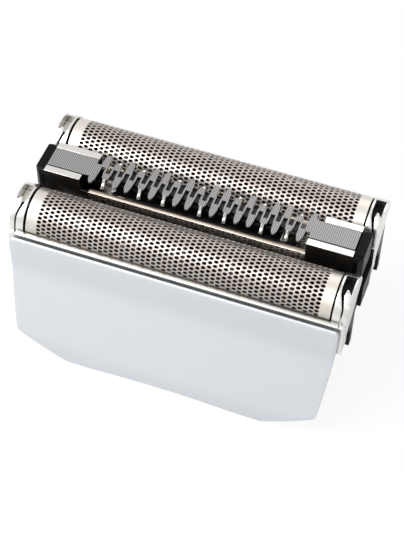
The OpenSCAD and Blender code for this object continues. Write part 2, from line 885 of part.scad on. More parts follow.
chassis();
deck();
front_cover();
rear_cover();
front_foil_frame();
rear_foil_frame();
front_foil_cradle();
rear_foil_cradle();
front_foil();
rear_foil();
front_blades();
rear_blades();
front_cutter_carrier();
rear_cutter_carrier();
front_drive_bridge();
rear_drive_bridge();
front_cutter_springs();
rear_cutter_springs();
front_foil_spring_left();
front_foil_spring_right();
rear_foil_spring_left();
rear_foil_spring_right();
trimmer_channel();
trimmer_comb();
trimmer_blade();
trimmer_driver();
trimmer_leaf_spring();
trimmer_cap_left();
trimmer_cap_right();
trimmer_spring_left();
trimmer_spring_right();
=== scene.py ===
# %% [markdown]
# # A foil head for an electric shaver
# Two foils with about a thousand fine holes each arch over oscillating blade stacks, and a sprung
# comb trimmer stands between them. The construction comes in as a fixed frame, with every piece at
# its true size and place. This lesson gives those pieces the edges, holes and finishes that the eye
# expects.

# %% Load the construction
import json
import math

import bmesh
import bpy
from mathutils import Matrix, Vector


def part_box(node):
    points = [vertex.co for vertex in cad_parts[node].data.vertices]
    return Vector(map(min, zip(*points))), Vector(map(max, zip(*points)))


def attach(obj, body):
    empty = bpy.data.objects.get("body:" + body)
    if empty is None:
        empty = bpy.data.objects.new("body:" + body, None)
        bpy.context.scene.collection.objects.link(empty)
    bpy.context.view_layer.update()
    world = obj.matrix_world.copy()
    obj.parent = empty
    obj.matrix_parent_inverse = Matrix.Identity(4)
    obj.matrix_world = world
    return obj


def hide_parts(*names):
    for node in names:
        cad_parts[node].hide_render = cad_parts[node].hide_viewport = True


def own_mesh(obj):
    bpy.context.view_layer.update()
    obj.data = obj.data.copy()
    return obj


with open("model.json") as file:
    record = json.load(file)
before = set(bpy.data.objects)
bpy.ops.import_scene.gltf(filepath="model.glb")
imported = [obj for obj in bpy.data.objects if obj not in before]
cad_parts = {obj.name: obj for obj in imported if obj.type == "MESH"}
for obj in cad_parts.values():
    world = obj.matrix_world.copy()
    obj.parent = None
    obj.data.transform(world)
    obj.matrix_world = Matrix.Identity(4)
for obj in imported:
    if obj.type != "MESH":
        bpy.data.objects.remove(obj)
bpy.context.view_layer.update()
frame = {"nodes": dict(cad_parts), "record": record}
nodes = frame["nodes"]
print("pieces in the frame:", len(nodes))

# %% [markdown]
# Blender works in metres and this object in tenths of a millimetre, so lengths below are written in
# millimetres and multiplied by one named value. Colours are written as the sRGB hex values that a
# colour picker shows, and one function turns them into the linear values that shaders expect.

# %% Units and colours
MM = 0.001


def linear(hex_code):
    """sRGB hex such as '#C0C0C0' as a linear RGBA tuple."""
    parts = [int(hex_code[i : i + 2], 16) / 255 for i in (1, 3, 5)]
    bent = [p / 12.92 if p <= 0.04045 else ((p + 0.055) / 1.055) ** 2.4 for p in parts]
    return (*bent, 1.0)


# %% [markdown]
# The camera is made first, because it decides what has to look right. Its place was found by
# fitting a pinhole camera to the cover's corners, the foils' ends and the comb's teeth in the
# photograph.

# %% Camera
PHOTO_HEIGHT_PX = 539
SENSOR = 36.0
CAM_AZIMUTH = math.radians(19.2)
CAM_ELEVATION = math.radians(51.2)
CAM_ROLL = math.radians(1.0)
CAM_DISTANCE = 207.2 * MM
CAM_FOCAL_PX = 1497
CAM_SIDE, CAM_UP = -0.08 * MM, 6.67 * MM
CAM_AIM = Vector((0, 0, 19.68 * MM))


def make_camera():
    az, el = CAM_AZIMUTH, CAM_ELEVATION
    back = Vector((math.sin(az) * math.cos(el), -math.cos(az) * math.cos(el), math.sin(el)))
    right = Vector((math.cos(az), math.sin(az), 0))
    up = back.cross(right)
    side = right * math.cos(CAM_ROLL) + up * math.sin(CAM_ROLL)
    top = up * math.cos(CAM_ROLL) - right * math.sin(CAM_ROLL)
    data = bpy.data.cameras.new("photo_camera")
    data.sensor_fit = "AUTO"
    data.sensor_width = SENSOR
    data.lens = CAM_FOCAL_PX * SENSOR / PHOTO_HEIGHT_PX
    data.clip_start = 10 * MM
    camera = bpy.data.objects.new("photo_camera", data)
    place = Matrix((side, top, back)).transposed().to_4x4()
    place.translation = CAM_AIM + back * CAM_DISTANCE - side * CAM_SIDE - top * CAM_UP
    camera.matrix_world = place
    bpy.context.scene.collection.objects.link(camera)
    bpy.context.scene.camera = camera
    return camera


camera = make_camera()
print("lens, mm:", round(camera.data.lens, 1))

# %% [markdown]
# Every finish below is a small node tree. One helper adds a node, sets its values and links its
# inputs, so that each material reads as a short list of what the surface is made of.


# %% Node helper
def add_node(owner, kind, settings=None, links=None, **attributes):
    """Adds one node to a material or a world.

    Attributes are set on the node itself and settings on its sockets. Links join other nodes'
    outputs to its sockets.
    """
    tree = owner.node_tree
    node = tree.nodes.new(kind)
    for name, value in attributes.items():
        setattr(node, name, value)
    for name, value in (settings or {}).items():
        node.inputs[name].default_value = value
    for name, source in (links or {}).items():
        tree.links.new(source, node.inputs[name])
    return node


def new_surface(name, settings):
    """A material whose Principled shader starts from these socket values."""
    material = bpy.data.materials.new(name)
    material.use_nodes = True
    shader = material.node_tree.nodes["Principled BSDF"]
    for socket, value in settings.items():
        shader.inputs[socket].default_value = value
    return material, shader


def connect(material, shader, **outputs):
    """Joins outputs to the shader's sockets. An underscore in a name stands for a space."""
    for socket, output in outputs.items():
        material.node_tree.links.new(output, shader.inputs[socket.replace("_", " ")])


# %% [markdown]
# Patterns are placed in object coordinates, which are metres here, so a pattern of a known size in
# millimetres needs a scale of one over that size in metres. A stretch along one axis gives
# brushing. What a hand feels as texture reaches the eye in two ways, so a second helper uses
# patterns for both: one spreads the reflections, and the other raises the surface.


# %% Pattern helpers
GRAIN_DETAIL = 3.0


def grain(material, size_mm, stretch=(1, 1, 1)):
    """Noise with blotches about size_mm across, drawn out where the stretch is above 1."""
    place = add_node(material, "ShaderNodeTexCoord")
    scale = [1 / (size_mm * MM * s) for s in stretch]
    mapped = add_node(
        material, "ShaderNodeMapping", {"Scale": scale}, {"Vector": place.outputs["Object"]}
    )
    return add_node(
        material,
        "ShaderNodeTexNoise",
        {"Scale": 1.0, "Detail": GRAIN_DETAIL},
        {"Vector": mapped.outputs["Vector"]},
    )


def texture(material, shader, haze, haze_range, relief, relief_mm, strength=0.5):
    """The haze pattern sets the roughness between two values, and the relief pattern the height."""
    low, high = haze_range
    rough = add_node(
        material,
        "ShaderNodeMapRange",
        {"To Min": low, "To Max": high},
        {"Value": haze.outputs["Fac"]},
    )
    raised = add_node(
        material,
        "ShaderNodeBump",
        {"Distance": relief_mm * MM, "Strength": strength},
        {"Height": relief.outputs["Fac"]},
    )
    connect(material, shader, Roughness=rough.outputs["Result"], Normal=raised.outputs["Normal"])


# %% [markdown]
# ## Silver lacquer
# The covers are moulded ABS with a satin silver lacquer: aluminium flakes in a clear binder. Flakes
# make it partly metallic, so it brightens towards the light, and the binder gives a soft coat. The
# flakes are 0.02 mm on the real one and are drawn at 0.12 mm so that they show at all.


# %% Silver lacquer
def silver_lacquer():
    material, shader = new_surface(
        "silver_lacquered_abs", {"Metallic": 0.25, "Coat Weight": 0.2, "Coat Roughness": 0.2}
    )
    flakes = grain(material, size_mm=0.12)
    waves = grain(material, size_mm=6.0)
    tone = add_node(
        material,
        "ShaderNodeMix",
        {"A": linear("#CED3D8"), "B": linear("#DADEE3")},
        {"Factor": flakes.outputs["Fac"]},
        data_type="RGBA",
    )
    connect(material, shader, Base_Color=tone.outputs["Result"])
    texture(material, shader, waves, haze_range=(0.32, 0.42), relief=flakes, relief_mm=0.002)
    return material


# %% [markdown]
# ## Chrome plate
# The foil frames are plastic plated with chromium over copper and nickel. Plating copies the
# moulding under it, so there is a slight wave in the mirror. The photograph shows soft reflections
# in it, so it is drawn hazier than new chrome, with the haze smeared along the rails.


# %% Chrome plate
def chrome_plate():
    material, shader = new_surface(
        "chrome_plated_abs", {"Base Color": linear("#DAD9D6"), "Metallic": 1.0}
    )
    waves = grain(material, size_mm=1.6)
    smears = grain(material, size_mm=0.5, stretch=(3, 1, 1))
    texture(material, shader, smears, haze_range=(0.2, 0.3), relief=waves, relief_mm=0.006)
    return material


# %% [markdown]
# ## Nickel foil
# The foil is grown in a plating bath, which leaves warm grey nickel with a fine satin face. It is
# not polished, so reflections spread along it and the blank ends look like pale cream bands. The
# part with holes is drawn a shade darker: painted shade for the light that the holes' rims turn
# away. Where the foil dips behind the rails a dark line runs along it, painted shade of the corner,
# so its colour darkens by its height.


# %% Painted shade by the rails
# A dark band low on the foils, by the rails, is painted shade of the corner.
RAIL_SHADE_TONE = "#3A3531"
RAIL_SHADE_LOW, RAIL_SHADE_HIGH = 20.5 * MM, 20.72 * MM


def rail_shaded(material, colour):
    """The colour, darkened towards the rails by the height in the piece's own frame: painted shade.
    """
    place = add_node(material, "ShaderNodeTexCoord")
    height = add_node(material, "ShaderNodeSeparateXYZ", {}, {"Vector": place.outputs["Object"]})
    unshaded = add_node(
        material,
        "ShaderNodeMapRange",
        {"From Min": RAIL_SHADE_LOW, "From Max": RAIL_SHADE_HIGH},
        {"Value": height.outputs["Z"]},
    )
    mixed = add_node(
        material,
        "ShaderNodeMix",
        {"A": linear(RAIL_SHADE_TONE)},
        {"Factor": unshaded.outputs["Result"], "B": colour},
        data_type="RGBA",
    )
    return mixed.outputs["Result"]


# %% Nickel foil
def nickel_foil(name, dark_hex, pale_hex):
    """Satin nickel that drifts between two tones, as a plating bath leaves it."""
    material, shader = new_surface(name, {"Metallic": 1.0})
    satin = grain(material, size_mm=0.15)
    cloud = grain(material, size_mm=2.5)
    tone = add_node(
        material,
        "ShaderNodeMix",
        {"A": linear(dark_hex), "B": linear(pale_hex)},
        {"Factor": cloud.outputs["Fac"]},
        data_type="RGBA",
    )
    connect(material, shader, Base_Color=rail_shaded(material, tone.outputs["Result"]))
    texture(material, shader, satin, haze_range=(0.36, 0.48), relief=satin, relief_mm=0.004)
    return material


# %% [markdown]
# ## Rolled, ground and drawn steel
# One function makes every steel but the comb's: only the tone, the roughness and the direction and
# spacing of the lines differ. The blades are ground across the foils' length, and the strips are
# rolled along it. Roughness follows the lines, from a fifth under the stated value to three tenths
# over it.


# %% Steels
STEEL_LEAST, STEEL_MOST = 0.8, 1.3


def steel(name, tone_hex, roughness, line_mm, stretch, depth_mm):
    """Bare steel with lines of this spacing and depth, drawn out along the stretch."""
    material, shader = new_surface(name, {"Base Color": linear(tone_hex), "Metallic": 1.0})
    lines = grain(material, line_mm, stretch)
    haze_range = (roughness * STEEL_LEAST, roughness * STEEL_MOST)
    texture(material, shader, lines, haze_range, lines, depth_mm, strength=0.7)
    return material


# %% [markdown]
# The comb's sheet is different: its grinding leaves ridges 0.28 mm apart that run from tooth tip to
# tooth tip, wide enough to be seen as fine dark lines. A wave texture draws them, a little
# distorted, as ground lines are. Its bands repeat every two pi over twenty units, so the scale that
# gives a spacing is worked out from that.


# %% Ribbed steel
RIDGE_MM = 0.28
RIDGE_DEPTH = 0.008 * MM
RIDGE_SCALE = 2 * math.pi / 20 / (RIDGE_MM * MM)


def ribbed_steel():
    material, shader = new_surface("ridge_ground_steel", {"Metallic": 1.0, "Roughness": 0.42})
    place = add_node(material, "ShaderNodeTexCoord")
    ridges = add_node(
        material,
        "ShaderNodeTexWave",
        {"Scale": RIDGE_SCALE, "Distortion": 1.5, "Detail Scale": 0.6},
        {"Vector": place.outputs["Object"]},
    )
    tone = add_node(
        material,
        "ShaderNodeMix",
        {"A": linear("#747272"), "B": linear("#A3A1A1")},
        {"Factor": ridges.outputs["Fac"]},
        data_type="RGBA",
    )
    raised = add_node(
        material,
        "ShaderNodeBump",
        {"Distance": RIDGE_DEPTH, "Strength": 0.6},
        {"Height": ridges.outputs["Fac"]},
    )
    connect(material, shader, Base_Color=tone.outputs["Result"], Normal=raised.outputs["Normal"])
    return material


# %% [markdown]
# ## Moulded plastics
# Black ABS is semi-gloss where the mould was polished. The inner pieces are natural acetal, a milky
# plastic, and the deck is matt. All have a fine texture left by the mould. The blacks get a low
# sheen, because the photograph shows them almost without reflections.


# %% Plastics
PLASTIC_LEAST, PLASTIC_MOST = 0.85, 1.2


def moulded_plastic(name, tone_hex, roughness, texture_mm, sheen):
    """Plastic with the mould's texture. A lower sheen reflects less than plain ABS."""
    material, shader = new_surface(
        name, {"Base Color": linear(tone_hex), "Specular IOR Level": sheen}
    )
    mould = grain(material, texture_mm)
    haze_range = (roughness * PLASTIC_LEAST, roughness * PLASTIC_MOST)
    texture(material, shader, mould, haze_range, relief=mould, relief_mm=0.004)
    return material


# %% [markdown]
# The record names a slot for each node, and each slot now gets its finish. Three stretches say
# which way the lines on a steel run: across the foils' length, along it, or neither.


# %% Finish for each slot of the record
ACROSS = (1, 30, 30)
ALONG = (30, 1, 1)
EVEN = (1, 1, 1)
finishes = {
    "silver_cover": silver_lacquer(),
    "chrome_frame": chrome_plate(),
    "foil_nickel": nickel_foil("electroformed_nickel", "#C9C3BA", "#D9D4CC"),
    "bright_steel": steel(
        "bright_rolled_steel", "#DAD8D4", roughness=0.2, line_mm=0.08, stretch=ALONG, depth_mm=0.002
    ),
    "matt_steel": ribbed_steel(),
    # The blades' near-black tone is painted shade: they lie in the shade under the foils.
    "blade_steel": steel(
        "ground_blade_steel", "#302F31", roughness=0.3, line_mm=0.08, stretch=ACROSS, depth_mm=0.003
    ),
    "spring_wire": steel(
        "drawn_spring_wire", "#C4C4C6", roughness=0.22, line_mm=0.2, stretch=EVEN, depth_mm=0.002
    ),
    "black_plastic": moulded_plastic(
        "black_abs", "#050506", roughness=0.36, texture_mm=0.15, sheen=0.1
    ),
    "dark_plastic": moulded_plastic(
        "dark_matt_abs", "#161618", roughness=0.55, texture_mm=0.15, sheen=0.2
    ),
    "white_plastic": moulded_plastic(
        "natural_acetal", "#DAD7CE", roughness=0.4, texture_mm=0.2, sheen=0.5
    ),
}
# A darker copy of the nickel for the part with holes is painted shade.
field_shade_nickel = nickel_foil("painted_shade_nickel", "#ABA29C", "#BBB3AD")
slot_of_node = {s["node"]: s["material_slot"] for s in frame["record"]["subparts"]}


def paint(piece, slot_name):
    """Takes off what the piece has and gives it the slot's finish."""
    piece.data.materials.clear()
    piece.data.materials.append(finishes[slot_name])


for name, node_object in nodes.items():
    paint(node_object, slot_of_node[name])
print("finishes:", len(finishes))

# %% [markdown]
# ## Rounded edges
# No moulded, plated or stamped edge is perfectly sharp, and it is the thin highlight along an edge
# that tells the eye what it is made of. For pieces whose form is already right, a copy of the
# frame's mesh gets a small bevel. First come two helpers that fix a piece's modifiers and smooth
# its shading.


# %% Mesh helpers
EDGE_ANGLE = math.radians(35)


def apply_modifiers(piece):
    """Turns what the modifiers make into the piece's own mesh."""
    bpy.context.view_layer.update()
    evaluated = piece.evaluated_get(bpy.context.evaluated_depsgraph_get())
    mesh = bpy.data.meshes.new_from_object(evaluated)
    piece.modifiers.clear()
    piece.data = mesh
    return mesh


def finished_mesh(piece):
    """Shades smooth up to edges sharper than EDGE_ANGLE, and leans towards the larger faces."""
    mesh = apply_modifiers(piece)
    mesh.shade_smooth()
    mesh.set_sharp_from_angle(angle=EDGE_ANGLE)
    weigh = piece.modifiers.new("flat_faces", "WEIGHTED_NORMAL")
    weigh.keep_sharp = True
    apply_modifiers(piece)
    return piece


# %% [markdown]
# A new piece has to move with the right body, take its finish from the right slot and stand for its
# node. The record lists the nodes of each body, so all three follow from the node's name.


# %% Seating a piece
def body_of_node(name):
    """The moving body that a frame node belongs to."""
    bodies = frame["record"]["behaviour"]["bodies"]
    return next(body for body, members in bodies.items() if name in members)


def seat(piece, node_name):
    """Gives a piece its finish and body, and lets it stand for the frame's node."""
    paint(piece, slot_of_node[node_name])
    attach(piece, body_of_node(node_name))
    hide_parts(node_name)
    return piece


def new_piece(name, mesh):
    """Puts a mesh into the scene as a piece of its own."""
    piece = bpy.data.objects.new(name, mesh)
    bpy.context.scene.collection.objects.link(piece)
    return piece


# %% [markdown]
# The frame's meshes are made of triangles, so flat ones are joined before the bevel, or it would
# find edges inside flat faces. The foil frames' rails, whose top is as high as the foils' axis, get
# a larger round on their outer top edge first.


# %% Rounded copies
WELD = 0.0005 * MM
FLAT_ANGLE = math.radians(0.5)
FOIL_AXIS_Z = 20.3 * MM
RAIL_SEGMENTS = 6


def long_top_edges(work, height, outside):
    """The edges that run along X at this height, on the outermost side of the object."""
    near = 0.01 * MM

    def at_rail(vertex):
        return abs(vertex.co.z - height) < near and abs(abs(vertex.co.y) - outside) < near

    return [edge for edge in work.edges if all(at_rail(vertex) for vertex in edge.verts)]


def rounded(node_name, width_mm, segments, rail_mm=0):
    """A copy of a node with rounded edges. A rail's outer edge can be rounded further."""
    mesh = nodes[node_name].data.copy()
    work = bmesh.new()
    work.from_mesh(mesh)
    bmesh.ops.remove_doubles(work, verts=work.verts, dist=WELD)
    bmesh.ops.dissolve_limit(
        work, angle_limit=FLAT_ANGLE, verts=work.verts, edges=work.edges, delimit=set()
    )
    if rail_mm:
        low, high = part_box(node_name)
        edges = long_top_edges(work, FOIL_AXIS_Z, max(-low.y, high.y))
        bmesh.ops.bevel(
            work,
            geom=edges,
            offset=rail_mm * MM,
            segments=RAIL_SEGMENTS,
            profile=0.5,
            affect="EDGES",
        )
    work.to_mesh(mesh)
    work.free()
    piece = new_piece(node_name + "_rounded", mesh)
    bevel = piece.modifiers.new("edges", "BEVEL")
    bevel.width = width_mm * MM
    bevel.segments = segments
    bevel.limit_method = "ANGLE"
    bevel.angle_limit = EDGE_ANGLE
    return seat(finished_mesh(piece), node_name)


# %% [markdown]
# Each piece gets the round that its making gives: 0.05 mm on folded and stamped steel, about 0.1 mm
# on mouldings, and a generous 0.6 mm on the trimmer's caps, which fingers and skin touch.

# %% Widths in millimetres, steps, and the rails' own width
ROUNDING = {
    "chassis": (0.14, 2),
    "front_foil_cradle": (0.1, 2),
    "rear_foil_cradle": (0.1, 2),
    "front_foil_frame": (0.09, 3, 0.5),
    "rear_foil_frame": (0.09, 3, 0.5),
    "trimmer_channel": (0.05, 2),
    "trimmer_comb": (0.05, 2),
    "trimmer_cap_left": (0.6, 5),
    "trimmer_cap_right": (0.6, 5),
    "deck": (0.08, 2),
}
dressed = {}
for name, sizes in ROUNDING.items():
    dressed[name] = rounded(name, *sizes)
    print(name, "faces:", len(dressed[name].data.polygons))

# %% [markdown]
# Some pieces carry two finishes. Their mesh is cut where the finish changes, without moving
# anything, and each face then takes the first or the second material by a rule about where it lies.


# %% Two finishes on one piece
def cut_mesh(piece, point, normal):
    """Cuts the mesh along the plane through the point, and keeps both sides."""
    work = bmesh.new()
    work.from_mesh(piece.data)
    everything = work.verts[:] + work.edges[:] + work.faces[:]
    bmesh.ops.bisect_plane(work, geom=everything, plane_co=point, plane_no=normal)
    work.to_mesh(piece.data)
    work.free()


def second_finish(piece, material, belongs):
    """Gives the material to the faces whose centre passes the rule."""
    piece.data.materials.append(material)
    for face in piece.data.polygons:
        face.material_index = int(belongs(face.center))
    count = sum(face.material_index for face in piece.data.polygons)
    print(piece.name, "second finish on", count, "faces")


# %% [markdown]
# The trimmer's channel is bright in the middle and on the strips beside the comb's end plates. The
# walls under those strips take near-black steel: painted shade under the strips. The comb's narrow
# legs are bright on their lower half: a painted highlight.

# %% Channel and comb
STRIP_DEPTH = 0.35 * MM
STRIP_START = 15.7 * MM
channel, comb = dressed["trimmer_channel"], dressed["trimmer_comb"]
strip_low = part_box("trimmer_channel")[1].z - STRIP_DEPTH
for x in (-STRIP_START, STRIP_START):
    cut_mesh(channel, (x, 0, 0), (1, 0, 0))
# Near-black steel on the walls under the strips is painted shade.
strip_shade_steel = steel(
    "painted_shade_steel", "#3A3633", roughness=0.4, line_mm=0.1, stretch=ALONG, depth_mm=0.002
)
second_finish(channel, strip_shade_steel, lambda at: at.z < strip_low and abs(at.x) > STRIP_START)
# Bright steel on the legs' lower half is a painted highlight.
LEG_DROP = 0.85 * MM
leg_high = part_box("trimmer_comb")[1].z - LEG_DROP
cut_mesh(comb, (0, 0, leg_high), (0, 0, 1))
second_finish(comb, finishes["bright_steel"], lambda at: at.z < leg_high)

# %% [markdown]
# The photograph has a small bright point at the end of each short tooth. Each is drawn as a bead
# along the leg's slope, seen behind the teeth at the rear and under them in front. The comb is the
# same when it is turned half round, so each place is used once on either side.

# %% Beads of the legs
TOOTH_PITCH = 1.76 * MM
TOOTH_COUNT = 18
SHORT_TEETH = (1, 4, 6, 9, 11, 14, 16)
BEAD_REACH = 2.12 * MM
BEAD_DROP = 0.77 * MM
BEAD_HALF = (0.34 * MM, 0.4 * MM, 0.52 * MM)
BEAD_STEPS = 2
LEG_OUT, LEG_DOWN = 0.9 * MM, 1.1 * MM


def add_beads(piece):
    """Adds the beads to the comb's copy, in its second finish."""
    work = bmesh.new()
    work.from_mesh(piece.data)
    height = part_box("trimmer_comb")[1].z - BEAD_DROP
    for i in SHORT_TEETH:
        x = (i - (TOOTH_COUNT - 1) / 2) * TOOTH_PITCH - TOOTH_PITCH / 4
        for side in (-1, 1):
            place = Matrix.Translation((-side * x, side * BEAD_REACH, height))
            lean = Matrix.Rotation(side * math.atan2(LEG_OUT, LEG_DOWN), 4, "X")
            shape = place @ lean @ Matrix.Diagonal((*BEAD_HALF, 1))
            made = bmesh.ops.create_icosphere(
                work, subdivisions=BEAD_STEPS, radius=1, matrix=shape
            )
            # The beads take the same bright steel, a painted highlight.
            for face in {f for v in made["verts"] for f in v.link_faces}:
                face.material_index = 1
                face.smooth = True
    work.to_mesh(piece.data)
    work.free()


add_beads(comb)
print("beads:", 2 * len(SHORT_TEETH))

# %% [markdown]
# The middle of the channel's long walls ends in a rolled hem, which shows as a cream line between
# the comb and the front foil. It is a flattened round bar on either side, joined to the channel's
# copy, and its steel is drawn warm, pale and dull: a painted highlight that keeps the line lit.

# %% Hems of the channel
HEM_LENGTH = 31.2 * MM
HEM_HALF_WIDE, HEM_HALF_HIGH = 0.36 * MM, 0.24 * MM
HEM_Y = 2.41 * MM
HEM_DROP = 2.25 * MM
HEM_SIDES = 20


def add_hems(piece, material):
    """Adds the hems to the channel's copy, in a finish of their own."""
    piece.data.materials.append(material)
    finish_number = len(piece.data.materials) - 1
    work = bmesh.new()
    work.from_mesh(piece.data)
    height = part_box("trimmer_channel")[1].z - HEM_DROP
    flattened = Matrix.Diagonal((HEM_LENGTH, HEM_HALF_WIDE, HEM_HALF_HIGH, 1))
    lying = Matrix.Rotation(math.pi / 2, 4, "Y")
    for side in (-1, 1):
        place = Matrix.Translation((0, side * HEM_Y, height))
        made = bmesh.ops.create_cone(
            work,
            cap_ends=True,
            segments=HEM_SIDES,
            radius1=1,
            radius2=1,
            depth=1,
            matrix=place @ flattened @ lying,
        )
        for face in {f for v in made["verts"] for f in v.link_faces}:
            face.material_index = finish_number
            face.smooth = len(face.verts) == 4
    work.to_mesh(piece.data)
    work.free()


# The hems' warm pale tone is a painted highlight.
hem_highlight_steel = steel(
    "painted_highlight_steel", "#B3A797", roughness=0.5, line_mm=0.25, stretch=ALONG, depth_mm=0.012
)
add_hems(channel, hem_highlight_steel)
print("finishes on the channel:", len(channel.data.materials))

# %% [markdown]
# The keys that fill the cheeks' pockets at the left end look as pale as the cheeks themselves in
# the photograph, so their tops take the milky plastic.

# %% Pale keys
KEY_LOW = 22.0 * MM
KEY_X = -22.3 * MM
for name in ("front_foil_cradle", "rear_foil_cradle"):
    second_finish(
        dressed[name], finishes["white_plastic"], lambda at: at.x < KEY_X and at.z > KEY_LOW
    )

# %% [markdown]
# ## The covers
# Each cover is a thin shell whose face falls away in three stages: a roll at the top, a nearly
# upright band that ends in a soft crease, and a leaning face that turns upright again at the foot.
# How steeply it leans at each share of the height, counted from the top, is written as a short
# table of pairs.

# %% Sizes of the covers
COVER_TOP_Y = 12.4 * MM
COVER_FLARE = 3.5 * MM
COVER_LEAN = (
    (0, 0.16),
    (0.07, 0.05),
    (0.2, 0.02),
    (0.36, 0.27),
    (0.8, 0.27),
    (0.93, 0.06),
    (1, 0.04),
)
COVER_WALL = 0.8 * MM
COVER_LIP = 0.45 * MM
LIP_WALL = 0.55 * MM
LIP_TAPER = 2.5 * MM
COVER_SIDE_IN = 1.1 * MM
COVER_CORNER_Z = 3.8 * MM
COVER_FOOT_X = 14.7 * MM
COVER_FOOT_FLAT = 3.6 * MM
COVER_ARCH = 0.5 * MM
ARCH_FADE = 4 * MM
CORNER_SOFT = 0.9 * MM
FACE_ROWS = 48
LIP_ROWS = 6
COLUMNS = 64

# %% [markdown]
# Seen from the end, the outer face is the sum of those leans, scaled to the flare of the whole
# cover. The wall tapers towards its rounded lip, so that only a fine dark line shows between the
# lip and the rail. Outer face, lip and inner face make one closed loop of points.


# %% Cover section
def lean_sum(share):
    """Area under the table of leans, from the top down to this share of the height."""
    total = 0
    for (u0, a), (u1, b) in zip(COVER_LEAN, COVER_LEAN[1:]):
        reach = max(min(share, u1) - u0, 0)
        total += reach * (a + (b - a) * reach / (u1 - u0) / 2)
    return total


def cover_face(z, height):
    """Distance of the outer face from the middle plane."""
    return COVER_TOP_Y + COVER_FLARE * lean_sum(1 - z / height) / lean_sum(1)


def cover_wall(z, height):
    """Thickness of the wall, which tapers towards the lip."""
    near_top = max(min((z - (height - COVER_LIP - LIP_TAPER)) / LIP_TAPER, 1), 0)
    return COVER_WALL + (LIP_WALL - COVER_WALL) * near_top


def cover_section(height):
    """Outer face from foot to lip, round the lip, and down the inner face, as (y, z) pairs."""
    lip_z = height - COVER_LIP
    heights = [lip_z * (i / FACE_ROWS) for i in range(FACE_ROWS + 1)]
    outer = [(cover_face(z, height), z) for z in heights]
    middle = cover_face(lip_z, height) - LIP_WALL / 2
    lip = []
    for i in range(1, LIP_ROWS * 2):
        a = math.pi * i / (LIP_ROWS * 2)
        lip.append((middle + LIP_WALL / 2 * math.cos(a), lip_z + COVER_LIP * math.sin(a)))
    inner = [(y - cover_wall(z, height), z) for y, z in reversed(outer)]
    return outer + lip + inner


# %% [markdown]
# Seen from the front, the cover has bowed sides, slanting lower corners and small rounds at the
# top. Its lower edge rises in a shallow arch between two flat feet. Each is a function of the place
# alone, so that the section's rows can ask how wide they are and how far they are lifted.


# %% Cover outline
def soft_min(a, b, blend):
    """The smaller of two values, rounded off where they meet."""
    h = max(blend - abs(a - b), 0) / blend
    return min(a, b) - h * h * blend / 4


def cover_half_width(z, half, height):
    """Half the cover's width at a height: a slanting corner below, a bowed side above."""
    slope = (half - COVER_SIDE_IN - COVER_FOOT_X) / COVER_CORNER_Z
    corner = COVER_FOOT_X + slope * z
    rise = max(z - COVER_CORNER_Z, 0) / (height - COVER_CORNER_Z)
    side = half - COVER_SIDE_IN + COVER_SIDE_IN * math.sin(math.pi / 2 * min(rise, 1))
    top_corner = half - max(z - (height - CORNER_SOFT), 0) ** 2 / (2 * CORNER_SOFT)
    return min(soft_min(corner, side, CORNER_SOFT), top_corner)


def foot_lift(x, z):
    """How far the arch lifts a point between the two flat feet. It fades out upwards."""
    flat_in = COVER_FOOT_X - COVER_FOOT_FLAT
    fade = max(1 - z / ARCH_FADE, 0)
    return COVER_ARCH * math.cos(math.pi / 2 * min(abs(x) / flat_in, 1)) * fade


# %% [markdown]
# Five ribs inside keep the thin wall off the chassis. They are seen only from below and from the
# ends.

# %% Ribs
RIB_PLACES = (-0.8, -0.4, 0, 0.4, 0.8)
RIB_THICK = 0.9 * MM
RIB_LOW, RIB_HIGH = 2.5 * MM, 12.3 * MM
RIB_ROWS = 12


def add_rib(work, x, side, height):
    """A flat rib that stands between the chassis and the inside of the wall."""
    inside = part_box("chassis")[1].y
    rings = []
    for i in range(RIB_ROWS + 1):
        z = RIB_LOW + (RIB_HIGH - RIB_LOW) * i / RIB_ROWS
        outside = cover_face(z, height) - COVER_WALL / 2
        half_thick = RIB_THICK / 2
        corners = (
            (x - half_thick, inside),
            (x + half_thick, inside),
            (x + half_thick, outside),
            (x - half_thick, outside),
        )
        rings.append([work.verts.new((corner_x, side * y, z)) for corner_x, y in corners])
    for lower, upper in zip(rings, rings[1:]):
        for i in range(4):
            j = (i + 1) % 4
            work.faces.new((lower[i], lower[j], upper[j], upper[i]))
    work.faces.new(rings[0])
    work.faces.new(rings[-1])


# %% [markdown]
# A row of points is laid across the loop at every step, as wide as the cover is there. The rows are
# joined into faces, and each end is closed with faces from the outer to the inner wall. The rear
# cover is the same form, turned to the other side.

# %% Covers
SHELL_EDGE = 0.2 * MM
SHELL_EDGE_STEPS = 3
SHELL_EDGE_ANGLE = math.radians(50)


def make_cover(node_name, side):
    """The side is -1 for the front cover and 1 for the rear one."""
    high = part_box(node_name)[1]
    half, height = high.x, high.z
    section = cover_section(height)
    work = bmesh.new()
    rows = []
    for y, z in section:
        reach = cover_half_width(z, half, height)
        row = []
        for i in range(COLUMNS + 1):
            x = reach * (2 * i / COLUMNS - 1)
            row.append(work.verts.new((x, side * y, z + foot_lift(x, z))))
        rows.append(row)
    for lower, upper in zip(rows, rows[1:] + rows[:1]):
        for i in range(COLUMNS):
            work.faces.new((lower[i], lower[i + 1], upper[i + 1], upper[i]))
    for end in (0, COLUMNS):
        for i in range(len(rows) // 2):
            ring = (rows[i][end], rows[i + 1][end], rows[-2 - i][end], rows[-1 - i][end])
            work.faces.new(dict.fromkeys(ring))
    for place in RIB_PLACES:
        add_rib(work, half * place, side, height)
    bmesh.ops.recalc_face_normals(work, faces=work.faces)
    mesh = bpy.data.meshes.new(node_name + "_shell")
    work.to_mesh(mesh)
    work.free()
    piece = new_piece(node_name + "_shell", mesh)
    bevel = piece.modifiers.new("edges", "BEVEL")
    bevel.width = SHELL_EDGE
    bevel.segments = SHELL_EDGE_STEPS
    bevel.limit_method = "ANGLE"
    bevel.angle_limit = SHELL_EDGE_ANGLE
    return seat(finished_mesh(piece), node_name)


